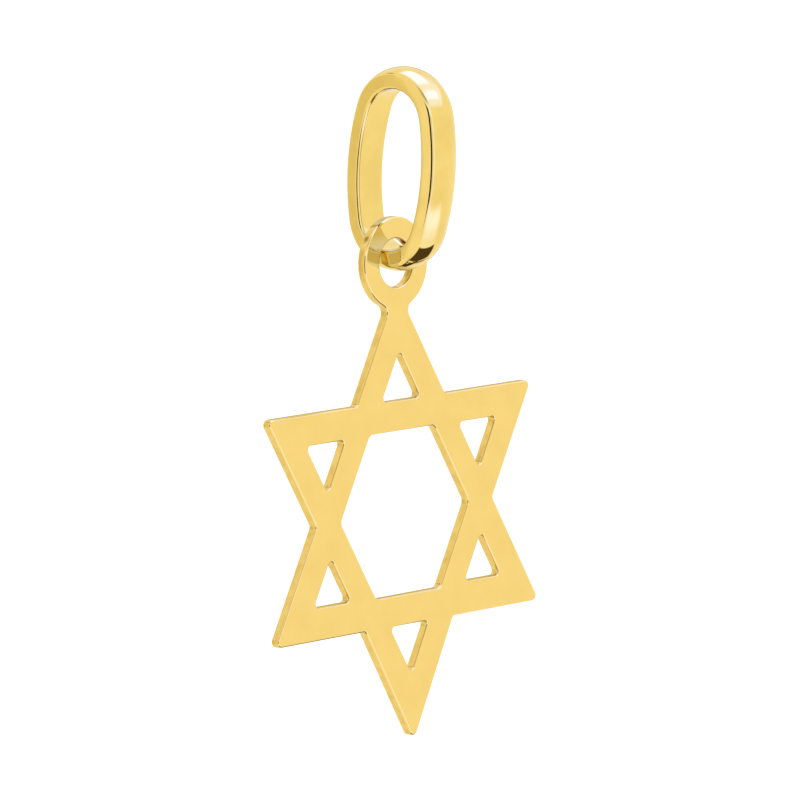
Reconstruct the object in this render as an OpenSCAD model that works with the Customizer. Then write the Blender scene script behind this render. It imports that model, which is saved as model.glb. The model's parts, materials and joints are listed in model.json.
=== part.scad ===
// Star of David pendant: a pierced flat star with an eye on its top tip,
// hanging on an oval bail whose opening faces along the chain.
// The origin is the place inside the top of the bail where the chain bears.

/* [Star] */
// Width of the star across its side tips, taken to their sharp points
star_width = 14; // [11:0.5:20]
// Width of each of the six bars
bar_width = 1.1; // [0.8:0.05:1.4]
// Thickness of the plate, the eye included
plate_thickness = 0.4; // [0.3:0.05:0.7]
// Rounding of the five free tips
tip_radius = 0.2; // [0.05:0.05:0.4]
// How much further the lower tip reaches than the others
lower_tip_reach = 0.2; // [0:0.01:0.5]
// Rounding in the notches between the tips
notch_radius = 0.18; // [0.06:0.02:0.4]
// Rounding in the corners of the hexagon opening
hexagon_radius = 0.3; // [0.1:0.05:0.8]
// Rounding in the corners of the six small windows
window_radius = 0.15; // [0.05:0.01:0.25]
// How much wider than elsewhere the bars are beside the windows
window_margin = 0.03; // [0:0.01:0.15]
// The same beside the two low side windows, which are a little smaller
low_window_margin = 0.08; // [0:0.01:0.15]

/* [Eye] */
// Diameter of the hole in the eye
eye_hole = 1.75; // [1.55:0.05:2.1]
// Width of the metal round the hole
eye_rim = 0.78; // [0.5:0.01:1]
// Height of the eye's centre above the sharp point of the top tip
eye_rise = 0.87; // [0.6:0.01:1.2]
// Fillet where the eye runs into the top tip
neck_radius = 0.3; // [0.05:0.01:0.5]

/* [Bail] */
// Length of the bail's opening
bail_length = 5.82; // [4.5:0.02:8]
// Depth of the bail's opening, front to back
bail_depth = 2.92; // [2.6:0.02:4]
// Radius of the gently bowed sides, on their inner face
bail_side_radius = 7.9; // [7:0.1:20]
// Width of the band, measured along the chain
bail_width = 1.34; // [0.9:0.02:1.4]
// Thickness of the band at its flat side walls
bail_wall = 0.55; // [0.3:0.01:0.7]
// Rise of the crown on the outside of the band
bail_crown = 0.21; // [0.05:0.01:0.4]
// Rounding along the two inner edges of the band
bail_edge_radius = 0.12; // [0.02:0.01:0.14]

/* [Hanging] */
// Lean of the bail towards the front
bail_lean = 8.2; // [-15:0.2:15]
// Distance of the plate behind the centre of the bail's lower bend
eye_offset = 0.35; // [-0.4:0.01:0.4]
// Clearance between the bail and the hole in the eye
eye_clearance = 0.02; // [0.02:0.01:0.1]

/* [Hidden] */
$fn = 96;

gold = "gold";
// Steps in each rounded corner of an outline, and round the outside of the eye
corner_steps = 8;
eye_steps = 72;
// How far a cut runs past a face
overlap = 0.01;
// How much finer the bail's sides are than its bends, and how far they run into them
side_relief = 0.01;
side_lap = 0.06;

star_radius = star_width / sqrt(3);
notch_distance = star_radius / sqrt(3);
bar_line = star_radius / 2;
hexagon_apothem = bar_line - bar_width;
star_drop = star_radius + eye_rise;
tip_half_angle = 30;
// Tips and windows are counted from the top tip, anticlockwise
lower_tip = 3;
window_margins = [for (i = [0:5]) abs(i - lower_tip) == 1 ? low_window_margin : window_margin];

eye_radius = eye_hole / 2;
eye_outer_radius = eye_radius + eye_rim;

bail_half_length = bail_length / 2;
bail_half_depth = bail_depth / 2;
bail_end_radius =
    (2 * bail_side_radius * bail_half_depth - pow(bail_half_length, 2) - pow(bail_half_depth, 2))
    / (2 * (bail_side_radius - bail_half_length));
bail_bend_height = bail_half_length - bail_end_radius;
bail_side_inset = bail_side_radius - bail_half_depth;
bail_side_angle = atan2(bail_bend_height, bail_side_inset);
side_lap_angle = side_lap / bail_side_radius * 180 / PI;
bail_thickness = bail_wall + bail_crown;
crown_radius = (pow(bail_width / 2, 2) + pow(bail_crown, 2)) / (2 * bail_crown);

// The rounded inner edges of the band hang inside the hole, clear of it by eye_clearance
edge_reach = eye_radius - eye_clearance - bail_edge_radius;
edge_span = bail_width / 2 - bail_edge_radius;
seat_height = bail_edge_radius + sqrt(pow(edge_reach, 2) - pow(edge_span, 2));
plate_reach = abs(eye_offset) + plate_thickness / 2;
bend_to_eye = seat_height + sqrt(pow(bail_end_radius, 2) - pow(plate_reach, 2));

lower_bend_y = 2 * bail_bend_height * sin(bail_lean);
lower_bend_z = -bail_end_radius - 2 * bail_bend_height * cos(bail_lean);
plate_y = lower_bend_y + eye_offset;
eye_z = lower_bend_z - bend_to_eye;

function unit(v) = v / norm(v);

function polar(radius, angle) = radius * [cos(angle), sin(angle)];

// Points of an arc about a centre, from one angle through a signed turn
function arc(centre, radius, from, turn, steps = corner_steps) =
    [for (i = [0:steps]) centre + polar(radius, from + turn * i / steps)];

// Points that round one corner of an outline, tangent to both of its edges
function rounded_corner(before, corner, after, radius) =
    let (
        back = unit(before - corner),
        ahead = unit(after - corner),
        half = acos(back * ahead) / 2,
        centre = corner + unit(back + ahead) * radius / sin(half),
        spoke = corner + back * radius / tan(half) - centre,
        turn = -sign(cross(back, ahead)) * (180 - 2 * half)
    )
    arc(centre, radius, atan2(spoke[1], spoke[0]), turn);

// A closed outline with each of its corners rounded by its own radius
function rounded(points, radii) =
    let (count = len(points))
    [for (i = [0:count - 1])
        each rounded_corner(points[(i + count - 1) % count], points[i], points[(i + 1) % count], radii[i])];

function same(value, count) = [for (i = [1:count]) value];

// The eye on its neck, from the right edge of the top tip round to the left one.
// Fillets run tangent to the tip's edges and to the eye, whose centre is the origin.
function eye_points() =
    let (
        edge_offset = eye_rise * sin(tip_half_angle),
        edge_setback = eye_rise * cos(tip_half_angle),
        reach = eye_outer_radius + neck_radius,
        along = sqrt(pow(reach, 2) - pow(neck_radius - edge_offset, 2)) - edge_setback,
        normal = polar(1, tip_half_angle),
        downward = polar(1, tip_half_angle - 90),
        centre = [0, -eye_rise] + neck_radius * normal + along * downward,
        from_eye = atan2(centre[1], centre[0]),
        right = arc(centre, neck_radius, tip_half_angle + 180, from_eye - tip_half_angle),
        rim = arc([0, 0], eye_outer_radius, from_eye, 180 - 2 * from_eye, eye_steps),
        left = [for (i = [corner_steps:-1:0]) [-right[i][0], right[i][1]]]
    )
    concat(right, [for (i = [1:eye_steps - 1]) rim[i]], left);

// Outline of the plate, with the eye and its neck in place of the rounded top tip
module plate_outline() {
    centre = [0, -star_drop];
    tips = [for (i = [0:5]) polar(star_radius + (i == lower_tip ? lower_tip_reach : 0), 90 + 60 * i)];
    corners = [for (i = [0:5]) each [tips[i], polar(notch_distance, 120 + 60 * i)]];
    radii = [for (i = [0:5]) each [tip_radius, notch_radius]];
    outline = rounded(corners, radii);
    top_tip = corner_steps + 1;
    below_the_eye = [for (i = [top_tip:len(outline) - 1]) centre + outline[i]];
    polygon(concat(eye_points(), below_the_eye));
}

module hexagon_opening() {
    corner_distance = hexagon_apothem / cos(30);
    corners = [for (i = [0:5]) polar(corner_distance, 60 * i)];
    polygon(rounded(corners, same(hexagon_radius, 6)));
}

module window_opening(margin) {
    apex = star_radius - 2 * (bar_width + margin);
    half_base = (apex - bar_line) * tan(tip_half_angle);
    corners = [[apex, 0], [bar_line, half_base], [bar_line, -half_base]];
    polygon(rounded(corners, same(window_radius, 3)));
}

module star() {
    color(gold)
    translate([0, plate_y, eye_z])
    rotate([90, 0, 0])
    difference() {
        linear_extrude(plate_thickness, center = true)
        difference() {
            plate_outline();
            translate([0, -star_drop]) {
                hexagon_opening();
                for (i = [0:5]) rotate(90 + 60 * i) window_opening(window_margins[i]);
            }
        }
        cylinder(h = plate_thickness + 2 * overlap, r = eye_radius, center = true);
    }
}

// Section of the band: flat inside with rounded edges, flat walls and a crowned outside.
// A relief makes it that much smaller at the edges, walls and crown.
module bail_section(relief) {
    wall = bail_width / 2 - relief;
    edge_centre = bail_width / 2 - bail_edge_radius;
    edge_radius = bail_edge_radius - relief;
    intersection() {
        polygon(concat(
            arc([bail_edge_radius, edge_centre], edge_radius, 90, 90),
            arc([bail_edge_radius, -edge_centre], edge_radius, 180, 90),
            [[2 * bail_thickness, -wall], [2 * bail_thickness, wall]]
        ));
        translate([bail_thickness - crown_radius, 0]) circle(crown_radius - relief);
    }
}

// One stretch of the bail, centred on the local X axis and bent about the local origin
module bail_bend(inner_radius, half_sweep, relief) {
    rotate_extrude(angle = 2 * half_sweep, start = -half_sweep)
    translate([inner_radius, 0])
    bail_section(relief);
}

// The bail lying flat, with its opening facing up and its length along X.
// Its sides are a hair finer than its bends and end just inside them.
module bail_ring() {
    for (end = [0, 180])
        rotate(end)
        translate([bail_bend_height, 0])
        bail_bend(bail_end_radius, 90 - bail_side_angle, 0);
    for (side = [90, 270])
        rotate(side)
        translate([-bail_side_inset, 0])
        bail_bend(bail_side_radius, bail_side_angle + side_lap_angle, side_relief);
}

module bail() {
    color(gold)
    translate([0, 0, -bail_end_radius])
    rotate([bail_lean, 0, 0])
    rotate([0, -90, 0])
    translate([-bail_bend_height, 0])
    bail_ring();
}

bail();
star();
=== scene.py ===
"""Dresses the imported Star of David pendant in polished 18 carat yellow gold.

The pendant is a flat pierced star with an eye on its top tip, hanging on an oval bail. Both
are made here as fine meshes by Geometry Nodes: the plate is filled between its outlines and
gets a small round along every edge, and the bail's crowned section is swept along its path.
A white light tent surrounds the pendant, as a jeweller's photographer sets it up.
"""

import sys

import json
import logging
from dataclasses import dataclass
from enum import Enum
from math import acos, asin, atan2, ceil, cos, pi, radians, sin, sqrt, tan

import bmesh
import bpy
from mathutils import Matrix, Vector


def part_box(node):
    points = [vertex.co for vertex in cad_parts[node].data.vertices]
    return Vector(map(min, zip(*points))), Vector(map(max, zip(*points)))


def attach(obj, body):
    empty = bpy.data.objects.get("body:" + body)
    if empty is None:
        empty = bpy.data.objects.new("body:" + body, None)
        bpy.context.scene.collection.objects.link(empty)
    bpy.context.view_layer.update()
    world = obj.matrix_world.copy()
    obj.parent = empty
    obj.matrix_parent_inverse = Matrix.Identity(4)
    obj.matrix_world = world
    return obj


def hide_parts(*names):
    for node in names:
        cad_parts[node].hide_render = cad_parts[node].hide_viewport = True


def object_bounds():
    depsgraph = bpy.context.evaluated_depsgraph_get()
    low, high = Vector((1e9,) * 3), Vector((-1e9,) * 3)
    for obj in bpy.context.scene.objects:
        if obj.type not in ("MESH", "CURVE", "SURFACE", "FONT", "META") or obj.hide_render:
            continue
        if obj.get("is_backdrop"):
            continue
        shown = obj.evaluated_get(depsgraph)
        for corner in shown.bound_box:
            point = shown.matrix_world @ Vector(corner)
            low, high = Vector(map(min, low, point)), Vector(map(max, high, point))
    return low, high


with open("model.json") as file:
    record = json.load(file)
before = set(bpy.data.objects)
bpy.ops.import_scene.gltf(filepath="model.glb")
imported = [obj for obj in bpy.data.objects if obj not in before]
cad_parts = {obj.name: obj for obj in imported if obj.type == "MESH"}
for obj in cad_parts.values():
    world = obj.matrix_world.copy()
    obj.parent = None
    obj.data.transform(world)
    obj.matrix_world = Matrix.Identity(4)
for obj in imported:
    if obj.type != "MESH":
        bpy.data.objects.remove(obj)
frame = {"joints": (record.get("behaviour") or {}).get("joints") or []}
CAD_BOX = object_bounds()

LOG = logging.getLogger("pendant")
MM = 0.001

# The star's tips, counted anticlockwise from the top one
TIPS = 6
LOWER_TIP = 3
TIP_STEP = pi / 3
TIP_HALF_ANGLE = radians(30)
TRIANGLE_SIDES = 3

# A mesh edge shorter than this is only rounding of the numbers
SPECK = 0.0001 * MM
# The weighting under which a corner takes its normal from the largest face beside it
LARGEST_FACE_WINS = 100
# A flat shaded face looks at least this squarely to the front or back, and a face of the
# plate's edge looks there no more than this
SQUARELY = 0.9999
SIDEWAYS = 0.3


def srgb(hex_colour: str) -> tuple[float, float, float, float]:
    """Turns an sRGB hex colour to the linear values that a shader takes.

    Args:
        hex_colour: Six hexadecimal digits, such as "f6d77a".

    Returns:
        Linear red, green and blue, and an alpha of one.
    """
    shares = [int(hex_colour[i:i + 2], 16) / 255 for i in (0, 2, 4)]
    linear = [s / 12.92 if s <= 0.04045 else ((s + 0.055) / 1.055) ** 2.4 for s in shares]
    return (*linear, 1.0)


def polar(angle: float) -> Vector:
    """Returns the flat unit vector at an angle."""
    return Vector((cos(angle), sin(angle)))


def add_node(tree: bpy.types.NodeTree, kind: str, settings: dict | None = None,
             values: dict | None = None, links: dict | None = None) -> bpy.types.Node:
    """Adds a node with its settings, its unlinked values and its incoming links.

    Args:
        tree: The tree that takes the node.
        kind: The node's type name.
        settings: Values of the node's own properties, by property name.
        values: Values of its unlinked inputs, by input name or number.
        links: Sockets to link from, by input name or number. A list links several.

    Returns:
        The new node.
    """
    node = tree.nodes.new(kind)
    for key, value in (settings or {}).items():
        setattr(node, key, value)
    for key, value in (values or {}).items():
        node.inputs[key].default_value = value
    for key, sources in (links or {}).items():
        for source in sources if isinstance(sources, list) else [sources]:
            tree.links.new(source, node.inputs[key])
    return node


def add_object(name: str, data: bpy.types.ID) -> bpy.types.Object:
    """Adds an object to the scene.

    Args:
        name: Name of the object.
        data: Its mesh, curve or camera.

    Returns:
        The object, at the origin.
    """
    item = bpy.data.objects.new(name, data)
    bpy.context.scene.collection.objects.link(item)
    return item


def bare_material(name: str) -> bpy.types.Material:
    """Makes a material whose node tree is still empty.

    Args:
        name: Name of the material.

    Returns:
        The material.
    """
    material = bpy.data.materials.new(name)
    material.use_nodes = True
    material.node_tree.nodes.clear()
    return material


@dataclass(frozen=True)
class Arc:
    """A round stretch of a flat outline. Straight stretches join one arc to the next.

    Attributes:
        centre: Its centre.
        radius: Its radius.
        start: Angle at which it starts, seen from its centre.
        turn: Angle that it runs through, anticlockwise where positive.
    """

    centre: Vector
    radius: float
    start: float
    turn: float

    def points(self, step: float) -> list[Vector]:
        """Places points along the arc.

        Args:
            step: The most that the direction turns from one point to the next.

        Returns:
            The points, with both ends.
        """
        count = max(2, ceil(abs(self.turn) / step))
        angles = [self.start + self.turn * i / count for i in range(count + 1)]
        return [self.centre + self.radius * polar(angle) for angle in angles]

    def mirrored(self) -> "Arc":
        """Returns the arc mirrored across the vertical axis, running the other way."""
        centre = Vector((-self.centre.x, self.centre.y))
        return Arc(centre, self.radius, pi - self.start - self.turn, self.turn)


def rounded_corner(before: Vector, corner: Vector, after: Vector, radius: float) -> Arc:
    """Rounds one corner of an outline, tangent to both of its edges.

    Args:
        before: The corner before this one.
        corner: The corner itself.
        after: The corner after it.
        radius: Radius of the rounding.

    Returns:
        The arc that takes the corner's place.
    """
    back, ahead = (before - corner).normalized(), (after - corner).normalized()
    half = acos(back.dot(ahead)) / 2
    centre = corner + (back + ahead).normalized() * radius / sin(half)
    spoke = corner + back * radius / tan(half) - centre
    side = -1 if back.x * ahead.y - back.y * ahead.x > 0 else 1
    return Arc(centre, radius, atan2(spoke.y, spoke.x), side * (pi - 2 * half))


def line_curve(name: str, arcs: list[Arc], step: float, closed: bool = True) -> bpy.types.Object:
    """Makes a curve object of one polyline from a chain of arcs.

    Args:
        name: Name of the object.
        arcs: The arcs in order.
        step: The most that the direction turns from one point to the next.
        closed: Whether the last arc joins the first.

    Returns:
        The curve object, flat in its own XY plane.
    """
    points = [p for arc in arcs for p in arc.points(step)]
    data = bpy.data.curves.new(name, "CURVE")
    data.dimensions = "3D"
    spline = data.splines.new("POLY")
    spline.points.add(len(points) - 1)
    for slot, p in zip(spline.points, points):
        slot.co = (p.x, p.y, 0, 1)
    spline.use_cyclic_u = closed
    return add_object(name, data)


class NodeShape:
    """A Geometry Nodes tree with named inputs, and the plain mesh that it makes."""

    SOCKETS = {float: "NodeSocketFloat", Vector: "NodeSocketVector",
               bpy.types.Object: "NodeSocketObject", bpy.types.Material: "NodeSocketMaterial"}

    def __init__(self, name: str, sizes: dict) -> None:
        """Starts a tree with one named input for each size.

        Args:
            name: Name of the tree.
            sizes: The inputs' values by name. An object among them is a helper curve.
        """
        self.sizes = sizes
        self.tree = bpy.data.node_groups.new(name, "GeometryNodeTree")
        face = self.tree.interface
        face.new_socket("Geometry", in_out="INPUT", socket_type="NodeSocketGeometry")
        face.new_socket("Geometry", in_out="OUTPUT", socket_type="NodeSocketGeometry")
        self.identifiers = {}
        for key, value in sizes.items():
            kind = next(socket for form, socket in self.SOCKETS.items() if isinstance(value, form))
            socket = face.new_socket(key, in_out="INPUT", socket_type=kind)
            self.identifiers[key] = socket.identifier
        self.inputs = self.tree.nodes.new("NodeGroupInput").outputs

    def add(self, kind: str, settings: dict | None = None, values: dict | None = None,
            links: dict | None = None) -> bpy.types.Node:
        """Adds a node to this tree, as add_node does."""
        return add_node(self.tree, kind, settings, values, links)

    def math(self, operation: str, first: bpy.types.NodeSocket | float,
             second: bpy.types.NodeSocket | float = 0.0) -> bpy.types.NodeSocket:
        """Works out one number from one or two, each a socket or a plain value.

        Args:
            operation: The Math node's operation.
            first: The first number.
            second: The second number, where the operation takes two.

        Returns:
            The result's socket.
        """
        node = self.add("ShaderNodeMath", {"operation": operation})
        for i, number in enumerate((first, second)):
            if isinstance(number, bpy.types.NodeSocket):
                self.tree.links.new(number, node.inputs[i])
            else:
                node.inputs[i].default_value = number
        return node.outputs[0]

    def finish(self, geometry: bpy.types.NodeSocket) -> None:
        """Links the tree's result to its output."""
        self.add("NodeGroupOutput", links={0: geometry})

    def mesh(self, host: bpy.types.Object, name: str) -> bpy.types.Object:
        """Runs the tree on a host and keeps the result as a plain mesh object.

        Faces are turned outwards. Normals are weighted by area, and the tree's flat shaded
        faces keep their own right up to the rounds beside them, so that flat metal mirrors
        flat. The host and the helper curves among the inputs are deleted.

        Args:
            host: The object whose geometry the tree starts from.
            name: Name of the finished object.

        Returns:
            The finished object, at the origin.
        """
        modifier = host.modifiers.new("shape", "NODES")
        modifier.node_group = self.tree
        for key, value in self.sizes.items():
            modifier[self.identifiers[key]] = value
        raw = evaluated_mesh(host)
        for helper in (host, *self.sizes.values()):
            if isinstance(helper, bpy.types.Object):
                bpy.data.objects.remove(helper, do_unlink=True)
        shell = bmesh.new()
        shell.from_mesh(raw)
        bmesh.ops.dissolve_degenerate(shell, edges=shell.edges, dist=SPECK)
        bmesh.ops.recalc_face_normals(shell, faces=shell.faces)
        open_edges = sum(not edge.is_manifold for edge in shell.edges)
        shell.to_mesh(raw)
        shell.free()
        piece = add_object(name, raw)
        weighted = piece.modifiers.new("weighted", "WEIGHTED_NORMAL")
        weighted.weight = LARGEST_FACE_WINS
        final = evaluated_mesh(piece)
        piece.modifiers.remove(weighted)
        keep_flat(final)
        piece.data = final
        final.name = name
        LOG.info("%s: %d open edges", name, open_edges)
        return piece


def evaluated_mesh(source: bpy.types.Object) -> bpy.types.Mesh:
    """Makes a plain mesh of an object with its modifiers applied.

    Args:
        source: The object.

    Returns:
        The mesh.
    """
    graph = bpy.context.evaluated_depsgraph_get()
    graph.update()
    return bpy.data.meshes.new_from_object(source.evaluated_get(graph), depsgraph=graph)


def keep_flat(mesh: bpy.types.Mesh) -> None:
    """Gives the corners round each flat shaded face its own normal, and shades all smooth.

    Args:
        mesh: The mesh to change.
    """
    flat = {i: face.normal.copy()
            for face in mesh.polygons if not face.use_smooth for i in face.vertices}
    normals = [flat.get(loop.vertex_index, corner.vector.copy())
               for loop, corner in zip(mesh.loops, mesh.corner_normals)]
    mesh.shade_smooth()
    mesh.normals_split_custom_set(normals)


# How busy each kind of noise is: soft clouds, long smooth swells and crisp lines
SOFT_CLOUDS = {"Detail": 3.0, "Roughness": 0.55}
LONG_SWELLS = {"Detail": 1.0, "Roughness": 0.4}
CRISP_LINES = {"Detail": 2.0, "Roughness": 0.6}
# Nearly all of the clouds' values lie between these two
CLOUD_LOW, CLOUD_HIGH = 0.35, 0.7
# Draws a pattern out into lines along Y, which is across the sheet's edge
ALONG_Y = (1, 0.02, 1)


@dataclass(frozen=True)
class GoldFinish:
    """18 carat yellow gold under one surface finish.

    The alloy is warm and pale, and it tints whatever it mirrors. How the surface was
    worked sets how sharply it mirrors, and how evenly.

    Attributes:
        name: Name of the material.
        colour: The alloy's own colour. The edge finish has a deeper one, and that deeper tone is
            painted shade.
        deep_colour: The same alloy where the surface scatters a little light away.
        roughness: How far the mirror image blurs.
        haze: How much more it blurs in the hazy spots.
        cloud_size: Size of the soft spots between the two colours.
        wave_size: Distance between the low swells that hand polishing leaves.
        wave_height: Height of those swells.
        line_size: Distance between the fine lines that run across the sheet's edge.
        line_height: Height of those lines. A finish without them has none.
    """

    name: str
    colour: str
    deep_colour: str
    roughness: float
    haze: float
    cloud_size: float
    wave_size: float
    wave_height: float
    line_size: float = 0.0
    line_height: float = 0.0

    def material(self) -> bpy.types.Material:
        """Builds the finish's shader.

        Returns:
            The material.
        """
        material = bare_material(self.name)
        tree = material.node_tree
        place = add_node(tree, "ShaderNodeTexCoord").outputs["Object"]
        clouds = add_node(tree, "ShaderNodeTexNoise", values={
            "Scale": 1 / self.cloud_size, **SOFT_CLOUDS}, links={"Vector": place}).outputs["Fac"]
        tone = add_node(tree, "ShaderNodeValToRGB", links={"Fac": clouds})
        self.set_ramp(tone.color_ramp)
        blur = add_node(tree, "ShaderNodeMapRange", values={
            "From Min": CLOUD_LOW, "From Max": CLOUD_HIGH,
            "To Min": self.roughness, "To Max": self.roughness + self.haze},
            links={"Value": clouds})
        shader = add_node(tree, "ShaderNodeBsdfPrincipled", values={"Metallic": 1.0}, links={
            "Base Color": tone.outputs["Color"], "Roughness": blur.outputs["Result"],
            "Normal": self.relief(tree, place)})
        add_node(tree, "ShaderNodeOutputMaterial", links={"Surface": shader.outputs[0]})
        return material

    def set_ramp(self, ramp: bpy.types.ColorRamp) -> None:
        """Spreads the two tones of the alloy over the clouds' usual range.

        Args:
            ramp: The colour ramp to set.
        """
        stops = ((CLOUD_LOW, self.colour), (CLOUD_HIGH, self.deep_colour))
        for element, (position, colour) in zip(ramp.elements, stops):
            element.position, element.color = position, srgb(colour)

    def relief(self, tree: bpy.types.NodeTree,
               place: bpy.types.NodeSocket) -> bpy.types.NodeSocket:
        """Adds the swells, and the lines across the sheet's edge where the finish has them.

        Args:
            tree: The material's tree.
            place: The object's coordinates.

        Returns:
            The socket of the bent normal.
        """
        swells = add_node(tree, "ShaderNodeTexNoise", values={
            "Scale": 1 / self.wave_size, **LONG_SWELLS}, links={"Vector": place})
        bent = add_node(tree, "ShaderNodeBump", values={
            "Strength": 1.0, "Distance": self.wave_height}, links={"Height": swells.outputs["Fac"]})
        if not self.line_height:
            return bent.outputs[0]
        across = add_node(tree, "ShaderNodeMapping", values={"Scale": ALONG_Y},
                          links={"Vector": place})
        lines = add_node(tree, "ShaderNodeTexNoise", values={
            "Scale": 1 / self.line_size, **CRISP_LINES}, links={"Vector": across.outputs[0]})
        bent = add_node(tree, "ShaderNodeBump", values={
            "Strength": 1.0, "Distance": self.line_height},
            links={"Height": lines.outputs["Fac"], "Normal": bent.outputs[0]})
        return bent.outputs[0]


# Sheet buffed with a soft wheel: it mirrors with a slight blur and looks evenly bright,
# with faint clouds where the compound cut a little less.
BUFFED_FACE = GoldFinish(
    "buffed_gold_face", colour="f9d77e", deep_colour="f6d379", roughness=0.05, haze=0.02,
    cloud_size=0.9 * MM, wave_size=1.4 * MM, wave_height=0.001 * MM)
# Edge left by the blanking die and tumbled: it blurs more, with fine lines across the sheet. Its
# tone, deeper than the face's, is painted shade on the plate's sideways walls. The real lines are
# finer, and these are as coarse as they need to be to show.
SHADED_BLANKED_EDGE = GoldFinish(
    "blanked_gold_edge_painted_shade", colour="f1cf73", deep_colour="e4be62", roughness=0.12, haze=0.08,
    cloud_size=0.35 * MM, wave_size=0.6 * MM, wave_height=0.002 * MM,
    line_size=0.05 * MM, line_height=0.001 * MM)
# Band polished to a mirror by hand: sharp reflections on a surface that swells very slightly.
MIRROR_BAND = GoldFinish(
    "mirror_gold_band", colour="f7d77c", deep_colour="f0cf72", roughness=0.03, haze=0.04,
    cloud_size=1.2 * MM, wave_size=0.9 * MM, wave_height=0.01 * MM)


@dataclass
class StarPlate:
    """The flat star, pierced between its bars, with the eye on its top tip.

    Attributes:
        width: Width across the side tips, taken to their sharp points.
        bar_width: Width of each of the six bars.
        tip_radius: Rounding of the five free tips.
        lower_tip_reach: How much further the lower tip reaches than the others.
        notch_radius: Rounding in the notches between the tips.
        hexagon_radius: Rounding in the corners of the hexagon opening.
        window_radius: Rounding in the corners of the six windows.
        window_margin: How much wider than elsewhere the bars are beside the windows.
        low_window_margin: The same beside the two low side windows.
        eye_hole: Diameter of the hole in the eye.
        eye_rim: Width of the metal round the hole.
        eye_rise: Height of the eye's centre above the sharp point of the top tip.
        neck_radius: Fillet where the eye runs into the top tip.
        edge_radius: Rounding along every edge of the sheet.
        corner_step: The most that the outline turns from one point to the next.
        edge_step: The same over the rounding of the edges.
        eye_step: The same round the hole in the eye.
        fillet_points: How many points round each corner of an opening.
        weld: The distance within which the edges and the faces are joined.
    """

    width: float = 14.0 * MM
    bar_width: float = 1.1 * MM
    tip_radius: float = 0.2 * MM
    lower_tip_reach: float = 0.2 * MM
    notch_radius: float = 0.18 * MM
    hexagon_radius: float = 0.3 * MM
    window_radius: float = 0.15 * MM
    window_margin: float = 0.03 * MM
    low_window_margin: float = 0.08 * MM
    eye_hole: float = 1.75 * MM
    eye_rim: float = 0.78 * MM
    eye_rise: float = 0.87 * MM
    neck_radius: float = 0.3 * MM
    edge_radius: float = 0.085 * MM
    corner_step: float = radians(10)
    edge_step: float = radians(15)
    eye_step: float = radians(4)
    fillet_points: int = 12
    weld: float = 0.002 * MM

    @property
    def radius(self) -> float:
        """Distance of the sharp tips from the star's centre."""
        return self.width / sqrt(3)

    @property
    def centre(self) -> Vector:
        """The star's centre in the frame, straight below the joint in its eye."""
        eye = frame["joints"][0]["pos_m"]
        return Vector((eye[0], eye[1], eye[2] - self.radius - self.eye_rise))

    def eye_arcs(self) -> list[Arc]:
        """Runs from the right edge of the top tip round the eye to the left edge.

        Returns:
            The two fillets with the eye's rim between them.
        """
        eye = Vector((0, self.radius + self.eye_rise))
        rim = self.eye_hole / 2 + self.eye_rim
        offset = self.eye_rise * sin(TIP_HALF_ANGLE)
        setback = self.eye_rise * cos(TIP_HALF_ANGLE)
        along = sqrt((rim + self.neck_radius) ** 2 - (self.neck_radius - offset) ** 2) - setback
        spoke = self.neck_radius * polar(TIP_HALF_ANGLE) + along * polar(TIP_HALF_ANGLE - pi / 2)
        centre = spoke - Vector((0, self.eye_rise))
        from_eye = atan2(centre.y, centre.x)
        right = Arc(eye + centre, self.neck_radius, TIP_HALF_ANGLE + pi, from_eye - TIP_HALF_ANGLE)
        return [right, Arc(eye, rim, from_eye, pi - 2 * from_eye), right.mirrored()]

    def outline(self) -> list[Arc]:
        """Goes round the plate, anticlockwise from the right of the top tip.

        Returns:
            The arcs in order.
        """
        corners = []
        for i in range(TIPS):
            reach = self.radius + (self.lower_tip_reach if i == LOWER_TIP else 0)
            corners.append(reach * polar(pi / 2 + i * TIP_STEP))
            corners.append(self.radius / sqrt(3) * polar(pi / 2 + TIP_HALF_ANGLE + i * TIP_STEP))
        arcs = self.eye_arcs()
        for i in range(1, len(corners)):
            radius = self.notch_radius if i % 2 else self.tip_radius
            after = corners[(i + 1) % len(corners)]
            arcs.append(rounded_corner(corners[i - 1], corners[i], after, radius))
        return arcs

    def edge_profile(self, thickness: float) -> list[Arc]:
        """Goes over the plate's edge, from the front face to the back.

        Args:
            thickness: Thickness of the plate.

        Returns:
            The two roundings in order.
        """
        r = self.edge_radius
        rise = thickness / 2 - r
        return [Arc(Vector((-r, rise)), r, pi / 2, -pi / 2),
                Arc(Vector((-r, -rise)), r, 0, -pi / 2)]

    def shape(self, thickness: float, centre: Vector) -> NodeShape:
        """Builds the tree that pierces, fills and edges the plate.

        Args:
            thickness: Thickness of the plate.
            centre: The star's centre in the frame.

        Returns:
            The tree with its inputs.
        """
        profile = line_curve("edge_profile", self.edge_profile(thickness), self.edge_step,
                             closed=False)
        inner_line = self.radius / 2
        height, low_height = (inner_line - 2 * (self.bar_width + margin)
                              for margin in (self.window_margin, self.low_window_margin))
        shape = NodeShape("pierced_plate", {
            "Edge Profile": profile,
            "Edge Radius": self.edge_radius,
            "Thickness": thickness,
            "Hexagon Radius": (inner_line - self.bar_width) / cos(TIP_HALF_ANGLE),
            "Hexagon Corner": self.hexagon_radius,
            "Window Height": height,
            "Low Window Height": low_height,
            "Window Base": inner_line,
            "Window Corner": self.window_radius,
            "Eye Radius": self.eye_hole / 2,
            "Eye Centre": Vector((0, self.radius + self.eye_rise, 0)),
            "Place": centre,
            "Face Finish": BUFFED_FACE.material(),
            # The edge finish's deeper tone is painted shade on the plate's walls
            "Edge Finish": SHADED_BLANKED_EDGE.material(),
        })
        self.grow(shape)
        return shape

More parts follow.
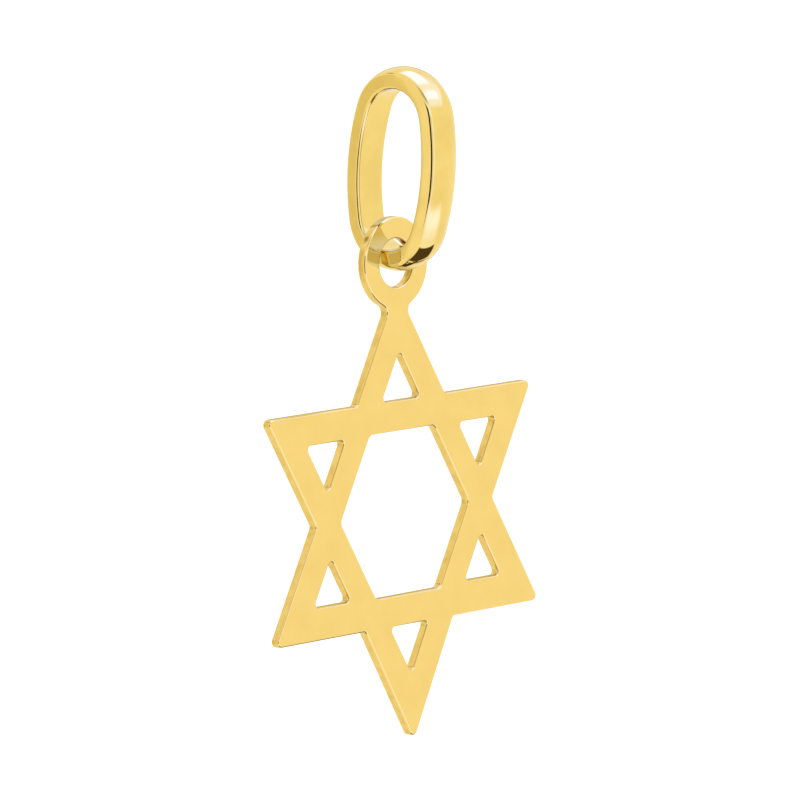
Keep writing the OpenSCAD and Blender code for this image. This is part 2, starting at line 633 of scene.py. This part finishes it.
    def rounded_polygon(self, shape: NodeShape, sides: int, radius: bpy.types.NodeSocket,
                        corner: bpy.types.NodeSocket) -> bpy.types.NodeSocket:
        """Adds an even polygon with rounded corners.

        Args:
            shape: The tree to add to.
            sides: How many sides it has.
            radius: Distance of its sharp corners from its middle.
            corner: Radius of the rounding.

        Returns:
            The socket of its curve.
        """
        sharp = shape.add("GeometryNodeCurvePrimitiveCircle", values={"Resolution": sides},
                          links={"Radius": radius})
        rounded = shape.add("GeometryNodeFilletCurve", {"mode": "POLY"}, {
            "Count": self.fillet_points, "Limit Radius": True}, {
            "Curve": sharp.outputs[0], "Radius": corner})
        return rounded.outputs[0]

    def holes(self, shape: NodeShape) -> bpy.types.NodeSocket:
        """Adds the curves of the hexagon, the six windows and the eye's hole.

        Args:
            shape: The tree to add to.

        Returns:
            The socket with all the holes' curves, running clockwise.
        """
        size = shape.inputs
        hexagon = self.rounded_polygon(shape, TIPS, size["Hexagon Radius"], size["Hexagon Corner"])
        eye = shape.add("GeometryNodeCurvePrimitiveCircle", values={
            "Resolution": round(2 * pi / self.eye_step)}, links={"Radius": size["Eye Radius"]})
        eye = shape.add("GeometryNodeTransform", links={
            "Geometry": eye.outputs[0], "Translation": size["Eye Centre"]})
        joined = shape.add("GeometryNodeJoinGeometry", links={
            "Geometry": [hexagon, *self.windows(shape), eye.outputs[0]]})
        plain = shape.add("GeometryNodeRealizeInstances", links={"Geometry": joined.outputs[0]})
        clockwise = shape.add("GeometryNodeReverseCurve", links={"Curve": plain.outputs[0]})
        return clockwise.outputs[0]

    def windows(self, shape: NodeShape) -> list[bpy.types.NodeSocket]:
        """Adds the windows: the low side pair, which is a little smaller, and the other four.

        Their seats are numbered anticlockwise from the one to the right of the top tip.

        Args:
            shape: The tree to add to.

        Returns:
            The sockets of the two sets of curves.
        """
        size = shape.inputs
        seat = shape.add("GeometryNodeInputIndex").outputs[0]
        turn = shape.math("ADD", shape.math("MULTIPLY", seat, TIP_STEP), TIP_HALF_ANGLE)
        spin = shape.add("ShaderNodeCombineXYZ", links={"Z": turn})
        from_lowest = shape.math("ABSOLUTE", shape.math("SUBTRACT", seat, LOWER_TIP + 1))
        low_pair = shape.math("COMPARE", from_lowest, 1.0)
        other_four = shape.math("SUBTRACT", 1.0, low_pair)
        sets = []
        for height, chosen in ((size["Low Window Height"], low_pair),
                               (size["Window Height"], other_four)):
            # The middle of an even triangle lies a third of its height above its base
            above_base = shape.math("DIVIDE", height, 3.0)
            below_apex = shape.math("MULTIPLY", height, 2 / 3)
            window = self.rounded_polygon(shape, TRIANGLE_SIDES, below_apex, size["Window Corner"])
            seats = shape.add("GeometryNodeMeshCircle", values={"Vertices": TIPS}, links={
                "Radius": shape.math("ADD", size["Window Base"], above_base)})
            seats = shape.add("GeometryNodeTransform", values={
                "Rotation": (0, 0, TIP_HALF_ANGLE)}, links={"Geometry": seats.outputs[0]})
            sets.append(shape.add("GeometryNodeInstanceOnPoints", links={
                "Points": seats.outputs[0], "Instance": window, "Rotation": spin.outputs[0],
                "Selection": chosen}).outputs[0])
        return sets

    def edges(self, shape: NodeShape, curves: bpy.types.NodeSocket) -> bpy.types.NodeSocket:
        """Sweeps the rounded edge along the outline and each hole.

        Args:
            shape: The tree to add to.
            curves: The curves of the outline and the holes.

        Returns:
            The socket of the edges' mesh.
        """
        profile = shape.add("GeometryNodeObjectInfo", links={
            "Object": shape.inputs["Edge Profile"]})
        return shape.add("GeometryNodeCurveToMesh", links={
            "Curve": curves, "Profile Curve": profile.outputs["Geometry"]}).outputs[0]

    def faces(self, shape: NodeShape, curves: bpy.types.NodeSocket,
              normal: bpy.types.NodeSocket) -> list[bpy.types.NodeSocket]:
        """Fills the front and the back between the rounded edges.

        Args:
            shape: The tree to add to.
            curves: The curves of the outline and the holes.
            normal: The normal, which points out of the metal on a curve.

        Returns:
            The sockets of the two faces.
        """
        size = shape.inputs
        inward = shape.add("ShaderNodeVectorMath", {"operation": "SCALE"}, links={
            "Vector": normal, "Scale": shape.math("MULTIPLY", size["Edge Radius"], -1.0)})
        inset = shape.add("GeometryNodeSetPosition", links={
            "Geometry": curves, "Offset": inward.outputs[0]})
        fill = shape.add("GeometryNodeFillCurve", links={"Curve": inset.outputs[0]})
        sides = []
        for share in (0.5, -0.5):
            lift = shape.add("ShaderNodeCombineXYZ", links={
                "Z": shape.math("MULTIPLY", size["Thickness"], share)})
            sides.append(shape.add("GeometryNodeTransform", links={
                "Geometry": fill.outputs[0], "Translation": lift.outputs[0]}).outputs[0])
        return sides

    def grow(self, shape: NodeShape) -> None:
        """Joins the faces to the rounded edges, stands the plate up and dresses it.

        The normal is read where it is used: the faces look along Z while the plate lies
        flat, and along Y once it stands.

        Args:
            shape: The tree to add to.
        """
        size = shape.inputs
        curves = shape.add("GeometryNodeJoinGeometry", links={
            "Geometry": [size["Geometry"], self.holes(shape)]})
        curves = shape.add("GeometryNodeSetCurveNormal", {"mode": "Z_UP"}, links={
            "Curve": curves.outputs[0]}).outputs[0]
        normal = shape.add("GeometryNodeInputNormal").outputs[0]
        facing = shape.add("ShaderNodeSeparateXYZ", links={"Vector": normal})
        joined = shape.add("GeometryNodeJoinGeometry", links={
            "Geometry": [self.edges(shape, curves), *self.faces(shape, curves, normal)]})
        merged = shape.add("GeometryNodeMergeByDistance", values={"Distance": self.weld}, links={
            "Geometry": joined.outputs[0]})
        flat = shape.math("GREATER_THAN", shape.math("ABSOLUTE", facing.outputs["Z"]), SQUARELY)
        shaded = shape.add("GeometryNodeSetShadeSmooth", links={
            "Geometry": merged.outputs[0], "Shade Smooth": shape.math("SUBTRACT", 1.0, flat)})
        upright = shape.add("GeometryNodeTransform", values={"Rotation": (pi / 2, 0, 0)}, links={
            "Geometry": shaded.outputs[0], "Translation": size["Place"]})
        solid = shape.add("GeometryNodeRealizeInstances", links={"Geometry": upright.outputs[0]})
        face = shape.add("GeometryNodeSetMaterial", links={
            "Geometry": solid.outputs[0], "Material": size["Face Finish"]})
        # The walls take the edge finish, whose deeper tone is painted shade
        wall = shape.add("FunctionNodeCompare", {"operation": "LESS_THAN"}, {"B": SIDEWAYS}, {
            "A": shape.math("ABSOLUTE", facing.outputs["Y"])})
        dressed = shape.add("GeometryNodeSetMaterial", links={
            "Geometry": face.outputs[0], "Material": size["Edge Finish"],
            "Selection": wall.outputs[0]})
        shape.finish(dressed.outputs[0])

    def build(self) -> bpy.types.Object:
        """Returns:
            The finished piece.
        """
        low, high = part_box("star")
        centre = self.centre
        centre.y = (low[1] + high[1]) / 2
        host = line_curve("plate_outline", self.outline(), self.corner_step)
        shape = self.shape(high[1] - low[1], centre)
        piece = shape.mesh(host, "star_plate")
        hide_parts("star")
        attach(piece, "star")
        return piece


@dataclass
class Bail:
    """The oval loop that the chain runs through.

    Attributes:
        length: Length of the opening.
        depth: Depth of the opening, front to back.
        side_radius: Radius of the gently bowed sides, on their inner face.
        width: Width of the band, measured along the chain.
        wall: Thickness of the band at its side walls.
        crown: Rise of the crown on the outside of the band.
        edge_radius: Rounding along the two inner edges.
        shoulder_radius: Rounding between a side wall and the crown.
        draft: How far the side walls draw in towards the crown.
        lean: Lean of the bail towards the front.
        path_step: The most that the path turns from one point to the next.
        section_step: The same round the band's section.
        weld: The distance within which doubled points are joined.
    """

    length: float = 5.82 * MM
    depth: float = 2.92 * MM
    side_radius: float = 7.9 * MM
    width: float = 1.34 * MM
    wall: float = 0.55 * MM
    crown: float = 0.21 * MM
    edge_radius: float = 0.12 * MM
    shoulder_radius: float = 0.2 * MM
    draft: float = radians(2)
    lean: float = radians(8.2)
    path_step: float = radians(2)
    section_step: float = radians(6)
    weld: float = 0.001 * MM

    @property
    def end_radius(self) -> float:
        """Works out the end bends, which the bowed sides run into.

        Returns:
            Their inner radius.
        """
        half_length, half_depth = self.length / 2, self.depth / 2
        rise = 2 * self.side_radius * half_depth - half_length ** 2 - half_depth ** 2
        return rise / (2 * (self.side_radius - half_length))

    def path(self) -> list[Arc]:
        """Goes round the opening's oval, its length along X.

        Returns:
            The arcs of the two bends and the two sides in order.
        """
        reach = self.length / 2 - self.end_radius
        inset = self.side_radius - self.depth / 2
        side = atan2(reach, inset)
        arcs = []
        for turned, ahead in ((0, 1), (pi, -1)):
            arcs.append(Arc(Vector((ahead * reach, 0)), self.end_radius,
                            turned + side - pi / 2, pi - 2 * side))
            arcs.append(Arc(Vector((0, -ahead * inset)), self.side_radius,
                            turned + pi / 2 - side, 2 * side))
        return arcs

    def section(self) -> list[Arc]:
        """Goes round the band's section, with X outwards from the opening.

        Returns:
            The arcs of the crown, a shoulder, the two inner edges and the other shoulder.
        """
        half, edge, shoulder = self.width / 2, self.edge_radius, self.shoulder_radius
        draft = self.draft
        crown_radius = (half ** 2 + self.crown ** 2) / (2 * self.crown)
        crown_centre = Vector((self.wall + self.crown - crown_radius, 0))
        reach = crown_radius - shoulder
        wall_line = (sin(draft) * (edge - crown_centre.x) + cos(draft) * (half - edge)
                     + edge - shoulder)
        tilt = asin(wall_line / reach) - draft
        sweep = pi / 2 - draft - tilt
        return [
            Arc(crown_centre, crown_radius, -tilt, 2 * tilt),
            Arc(crown_centre + reach * polar(tilt), shoulder, tilt, sweep),
            Arc(Vector((edge, half - edge)), edge, pi / 2 - draft, pi / 2 + draft),
            Arc(Vector((edge, edge - half)), edge, pi, pi / 2 + draft),
            Arc(crown_centre + reach * polar(-tilt), shoulder, -tilt - sweep, sweep),
        ]

    def shape(self) -> NodeShape:
        """Builds the tree that sweeps the section along the path and hangs the bail.

        Returns:
            The tree with its inputs.
        """
        hang = Matrix.Rotation(self.lean, 3, "X") @ Matrix.Rotation(-pi / 2, 3, "Y")
        lower = Vector((self.end_radius - self.length / 2, 0, 0))
        shape = NodeShape("swept_bail", {
            "Section": line_curve("bail_section", self.section(), self.section_step),
            "Place": hang @ lower - Vector((0, 0, self.end_radius)),
            "Lean": Vector(hang.to_euler()),
            "Finish": MIRROR_BAND.material(),
        })
        size = shape.inputs
        path = shape.add("GeometryNodeSetCurveNormal", {"mode": "Z_UP"}, links={
            "Curve": size["Geometry"]})
        profile = shape.add("GeometryNodeObjectInfo", links={"Object": size["Section"]})
        band = shape.add("GeometryNodeCurveToMesh", links={
            "Curve": path.outputs[0], "Profile Curve": profile.outputs["Geometry"]})
        merged = shape.add("GeometryNodeMergeByDistance", values={"Distance": self.weld}, links={
            "Geometry": band.outputs[0]})
        smooth = shape.add("GeometryNodeSetShadeSmooth", links={"Geometry": merged.outputs[0]})
        hung = shape.add("GeometryNodeTransform", links={
            "Geometry": smooth.outputs[0], "Translation": size["Place"], "Rotation": size["Lean"]})
        solid = shape.add("GeometryNodeRealizeInstances", links={"Geometry": hung.outputs[0]})
        dressed = shape.add("GeometryNodeSetMaterial", links={
            "Geometry": solid.outputs[0], "Material": size["Finish"]})
        shape.finish(dressed.outputs[0])
        return shape

    def build(self) -> bpy.types.Object:
        """Returns:
            The finished piece.
        """
        shape = self.shape()
        piece = shape.mesh(line_curve("bail_path", self.path(), self.path_step), "bail_band")
        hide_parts("bail")
        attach(piece, "bail")
        return piece


# Gold deepens a light's colour each time it mirrors it, and the photograph shows the places
# that mirror a light by way of two reflections paler than that. So each light turns cooler
# from its second reflection on. The tint is matched to the photograph's tones, and no real
# lamp does this.
TWICE_MIRRORED_TINT = (0.78, 0.98, 1.75)
# The ray depth that the second reflection is the first to pass. At a card it is the number of
# reflections, and at the world it is one more.
TWICE_FROM_CARD = 1.5
TWICE_FROM_WORLD = 2.5
# Numbers of the Mix node's colour sockets, which share their names with its other ones
MIX_A, MIX_B, MIX_RESULT = 6, 7, 2


def light_colour(tree: bpy.types.NodeTree, colour: tuple[float, ...],
                 limit: float) -> bpy.types.NodeSocket:
    """Adds the colour of a light, which is tinted from its second reflection on.

    Args:
        tree: The tree of the light's material or world.
        colour: The light's own linear colour.
        limit: The ray depth that the second reflection is the first to pass.

    Returns:
        The socket of the colour.
    """
    tinted = (*(share * tint for share, tint in zip(colour, TWICE_MIRRORED_TINT)), 1.0)
    depth = add_node(tree, "ShaderNodeLightPath").outputs["Ray Depth"]
    twice = add_node(tree, "ShaderNodeMath", {"operation": "GREATER_THAN"}, {1: limit}, {0: depth})
    mixed = add_node(tree, "ShaderNodeMix", {"data_type": "RGBA"}, {
        MIX_A: colour, MIX_B: tinted}, {"Factor": twice.outputs[0]})
    return mixed.outputs[MIX_RESULT]


class Role(Enum):
    """What a card does to the tent's even light."""

    LIGHT = "a light, brighter than the tent"
    SHADE = "a shade, darker than the tent"


@dataclass(frozen=True)
class Card:
    """A flat card in the tent round the pendant, seen only in the gold's reflections.

    Attributes:
        name: Name of the card.
        role: Whether it gives light or takes it away.
        centre: Its middle as seen from the bail, in tent radii.
        across: From its middle to one side, in tent radii.
        along: From its middle to the next side, in tent radii.
        colour: Colour of its light.
        strength: Its brightness against the tent's.
        soft: How far it fades in from its edges, as shares of its width and height.
    """

    name: str
    role: Role
    centre: tuple[float, float, float]
    across: tuple[float, float, float]
    along: tuple[float, float, float]
    colour: str
    strength: float
    soft: tuple[float, float]

    def build(self, middle: Vector, radius: float) -> bpy.types.Object:
        """Hangs the card in the tent.

        Args:
            middle: The point that the tent is built around.
            radius: The tent's radius.

        Returns:
            The card.
        """
        centre, across, along = (Vector(v) * radius for v in (self.centre, self.across, self.along))
        corners = [middle + centre + i * across + j * along
                   for i, j in ((-1, -1), (1, -1), (1, 1), (-1, 1))]
        mesh = bpy.data.meshes.new(self.name)
        mesh.from_pydata(corners, [], [(0, 1, 2, 3)])
        mesh.uv_layers.new(name="card").uv.foreach_set("vector", (0, 0, 1, 0, 1, 1, 0, 1))
        mesh.materials.append(self.material())
        card = add_object(self.name, mesh)
        for rays in ("camera", "diffuse", "transmission", "volume_scatter", "shadow"):
            setattr(card, "visible_" + rays, False)
        card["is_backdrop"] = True
        return card

    def material(self) -> bpy.types.Material:
        """Builds the card's glow, which fades out towards its edges.

        Returns:
            The material.
        """
        material = bare_material(self.name)
        tree = material.node_tree
        glow = add_node(tree, "ShaderNodeEmission", values={"Strength": self.strength}, links={
            "Color": light_colour(tree, srgb(self.colour), TWICE_FROM_CARD)})
        clear = add_node(tree, "ShaderNodeBsdfTransparent")
        seen = add_node(tree, "ShaderNodeMixShader", links={
            0: self.opacity(tree), 1: clear.outputs[0], 2: glow.outputs[0]})
        add_node(tree, "ShaderNodeOutputMaterial", links={"Surface": seen.outputs[0]})
        return material

    def opacity(self, tree: bpy.types.NodeTree) -> bpy.types.NodeSocket:
        """Adds the card's opacity, which rises smoothly from nothing at its edges.

        Args:
            tree: The card's material.

        Returns:
            The socket of its opacity.
        """
        place = add_node(tree, "ShaderNodeUVMap", {"uv_map": "card"})
        sides = add_node(tree, "ShaderNodeSeparateXYZ", links={"Vector": place.outputs[0]})
        shares = []
        for axis, soft in zip("XY", self.soft):
            # Folded at the middle, the place becomes the distance from the nearer edge
            inward = add_node(tree, "ShaderNodeMath", {"operation": "PINGPONG"}, {1: 0.5}, {
                0: sides.outputs[axis]})
            share = add_node(tree, "ShaderNodeMapRange", {"interpolation_type": "SMOOTHSTEP"}, {
                "From Max": soft}, {"Value": inward.outputs[0]})
            shares.append(share.outputs["Result"])
        product = add_node(tree, "ShaderNodeMath", {"operation": "MULTIPLY"}, links={
            0: shares[0], 1: shares[1]})
        return product.outputs[0]


# A camera clips a strong highlight on gold to white. These cool lights bring the gold's own
# tint to that white, and to the cream at a highlight's soft edge.
WHITE_LIGHT = "899cff"
CREAM_LIGHT = "acb8ff"
NEUTRAL_LIGHT = "ffffff"

CARDS = (
    Card("top_softbox", Role.LIGHT, (0.34, 0.14, 1.0), (0.4, 0, 0), (0, 0.5, 0),
         WHITE_LIGHT, 4.5, (0.15, 0.2)),
    Card("front_softbox", Role.LIGHT, (0.35, -0.84, 1.01), (0.85, 0, 0), (0, 0.4, 0),
         WHITE_LIGHT, 4.5, (0.2, 0.35)),
    Card("side_softbox", Role.SHADE, (-1.1, -0.65, 1.0), (0.9, 0, 0), (0, 0.7, 0),
         NEUTRAL_LIGHT, 0.55, (0.3, 0.3)),
    Card("diffuser", Role.LIGHT, (0.65, -0.85, 1.03), (1.3, 0, 0), (0, 1.4, 0),
         CREAM_LIGHT, 2.55, (0.2, 0.3)),
    Card("north_shade", Role.SHADE, (-0.33, 0.67, 0.66), (0.16, 0.08, 0), (0, 0, 0.18),
         "f0e0b0", 0.35, (0.4, 0.4)),
    Card("low_reflector", Role.LIGHT, (-0.4, -1.35, -1.0), (1.8, 0, 0), (0, 0.6, 0),
         CREAM_LIGHT, 2.8, (0.15, 0.5)),
    Card("low_fill", Role.LIGHT, (-0.2, -0.8, -1.02), (1.5, 0, 0), (0, 0.32, 0),
         "d9e0ff", 1.5, (0.2, 0.15)),
    Card("dark_well", Role.SHADE, (0.29, -0.19, -0.99), (0.74, 0, 0), (0, 0.33, 0),
         "ffddaa", 0.08, (0.05, 0.08)),
    Card("camera_side", Role.LIGHT, (-0.84, -0.71, 0.05), (0.64, -0.77, 0), (0, 0, 0.8),
         CREAM_LIGHT, 2.55, (0.3, 0.3)),
    Card("tent_seam", Role.SHADE, (-0.755, -0.656, -0.1), (0.16, -0.185, 0), (0, 0, 0.36),
         "e8e8f0", 1.06, (0.15, 0.2)),
    Card("camera_opening", Role.SHADE, (-0.97, -0.225, -0.02), (0.065, -0.285, 0), (0, 0, 0.38),
         NEUTRAL_LIGHT, 0.0, (0.07, 0.1)),
    Card("back_cloth", Role.SHADE, (0.74, 0.67, 0.0), (0.24, -0.26, 0), (0, 0, 0.45),
         "d5c984", 0.95, (0.35, 0.3)),
    Card("west_wall", Role.SHADE, (-0.55, 1.42, 0.0), (0.7, 0.41, 0), (0, 0, 0.75),
         "ebe6d1", 1.0, (0.07, 0.15)),
)


@dataclass
class Studio:
    """The light tent, the floor and the camera.

    Attributes:
        camera_azimuth: Angle of the camera round the star, from straight in front.
        camera_elevation: Angle of the camera above the star's centre.
        camera_roll: How far the camera is turned about its own axis.
        camera_distance: Distance of the camera from the star's centre.
        camera_lens: Focal length in millimetres.
        camera_near: The nearest that the camera sees.
        look_right: How far right of the star's centre the camera looks.
        look_up: How far above it the camera looks.
        floor_drop: Distance of the floor below the pendant.
        floor_size: Length of the floor's sides.
        floor_roughness: How matt the floor is.
        tent_radius: Distance of the tent's cards from the bail.
        overexposure: How far beyond white the floor and the background glow.
    """

    camera_azimuth: float = radians(-47.37)
    camera_elevation: float = radians(7.18)
    camera_roll: float = radians(2.137)
    camera_distance: float = 275.9 * MM
    camera_lens: float = 347.2
    camera_near: float = 10.0 * MM
    look_right: float = 0.077 * MM
    look_up: float = 3.995 * MM
    floor_drop: float = 200.0 * MM
    floor_size: float = 6.0
    floor_roughness: float = 0.6
    tent_radius: float = 200.0 * MM
    overexposure: float = 0.15

    def camera(self, star_centre: Vector) -> None:
        """Sets the camera at the photograph's viewing angle.

        Args:
            star_centre: The point that the viewing angle and distance are measured from.
        """
        a, e = self.camera_azimuth, self.camera_elevation
        back = Vector((sin(a) * cos(e), -cos(a) * cos(e), sin(e)))
        right = Vector((cos(a), sin(a), 0))
        up = back.cross(right)
        place = star_centre + back * self.camera_distance
        target = star_centre + right * self.look_right + up * self.look_up
        back = (place - target).normalized()
        up = Matrix.Rotation(-self.camera_roll, 3, back) @ (up - up.dot(back) * back).normalized()
        right = up.cross(back)
        data = bpy.data.cameras.new("camera")
        data.lens = self.camera_lens
        data.clip_start = self.camera_near
        camera = add_object("camera", data)
        camera.matrix_world = Matrix((
            (right.x, up.x, back.x, place.x), (right.y, up.y, back.y, place.y),
            (right.z, up.z, back.z, place.z), (0, 0, 0, 1)))
        bpy.context.scene.camera = camera

    def floor(self, lowest: float) -> None:
        """Lays a plain pale floor below the pendant.

        Args:
            lowest: Height of the pendant's lowest point.
        """
        half, z = self.floor_size / 2, lowest - self.floor_drop
        corners = [(-half, -half, z), (half, -half, z), (half, half, z), (-half, half, z)]
        mesh = bpy.data.meshes.new("floor")
        mesh.from_pydata(corners, [], [(0, 1, 2, 3)])
        # Matt acrylic sheet, lit from below: an even white that mirrors nothing
        material = bare_material("white_acrylic_floor")
        tree = material.node_tree
        shader = add_node(tree, "ShaderNodeBsdfPrincipled", values={
            "Base Color": srgb(NEUTRAL_LIGHT), "Roughness": self.floor_roughness,
            "Emission Color": srgb(NEUTRAL_LIGHT), "Emission Strength": self.overexposure})
        add_node(tree, "ShaderNodeOutputMaterial", links={"Surface": shader.outputs[0]})
        mesh.materials.append(material)
        floor = add_object("floor", mesh)
        floor.visible_glossy = False
        floor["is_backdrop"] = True

    def world(self) -> None:
        """Surrounds the scene with the tent's even light, overexposed behind the pendant."""
        world = bpy.data.worlds.new("light_tent")
        world.use_nodes = True
        tree = world.node_tree
        seen = add_node(tree, "ShaderNodeLightPath").outputs["Is Camera Ray"]
        level = add_node(tree, "ShaderNodeMath", {"operation": "MULTIPLY_ADD"}, {
            1: self.overexposure, 2: 1.0}, {0: seen})
        tent = tree.nodes["Background"]
        colour = light_colour(tree, srgb(NEUTRAL_LIGHT), TWICE_FROM_WORLD)
        tree.links.new(colour, tent.inputs["Color"])
        tree.links.new(level.outputs[0], tent.inputs["Strength"])
        bpy.context.scene.world = world
        bpy.context.scene.view_settings.view_transform = "Standard"

    def build(self, star_centre: Vector) -> None:
        """Builds the whole studio.

        Args:
            star_centre: The star's centre in the frame.
        """
        self.camera(star_centre)
        self.floor(CAD_BOX[0].z)
        self.world()
        low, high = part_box("bail")
        middle = (Vector(low) + Vector(high)) / 2
        for card in CARDS:
            card.build(middle, self.tent_radius)
            LOG.info("%s: %s", card.name, card.role.value)


def write_sizes() -> None:
    """Writes the CAD box and the visual model's box for comparison."""
    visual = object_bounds()
    for label, box in (("CAD", CAD_BOX), ("visual", visual)):
        LOG.info("%s box: %s mm", label, [[round(v / MM, 3) for v in corner] for corner in box])


def main() -> None:
    """Builds the pendant's pieces and the studio."""
    logging.basicConfig(level=logging.INFO, format="%(name)s: %(message)s", stream=sys.stdout)
    plate = StarPlate()
    for assembly in (plate, Bail()):
        piece = assembly.build()
        LOG.info("%s is built: %d faces", piece.name, len(piece.data.polygons))
    Studio().build(plate.centre)
    write_sizes()


if __name__ == "__main__":
    main()
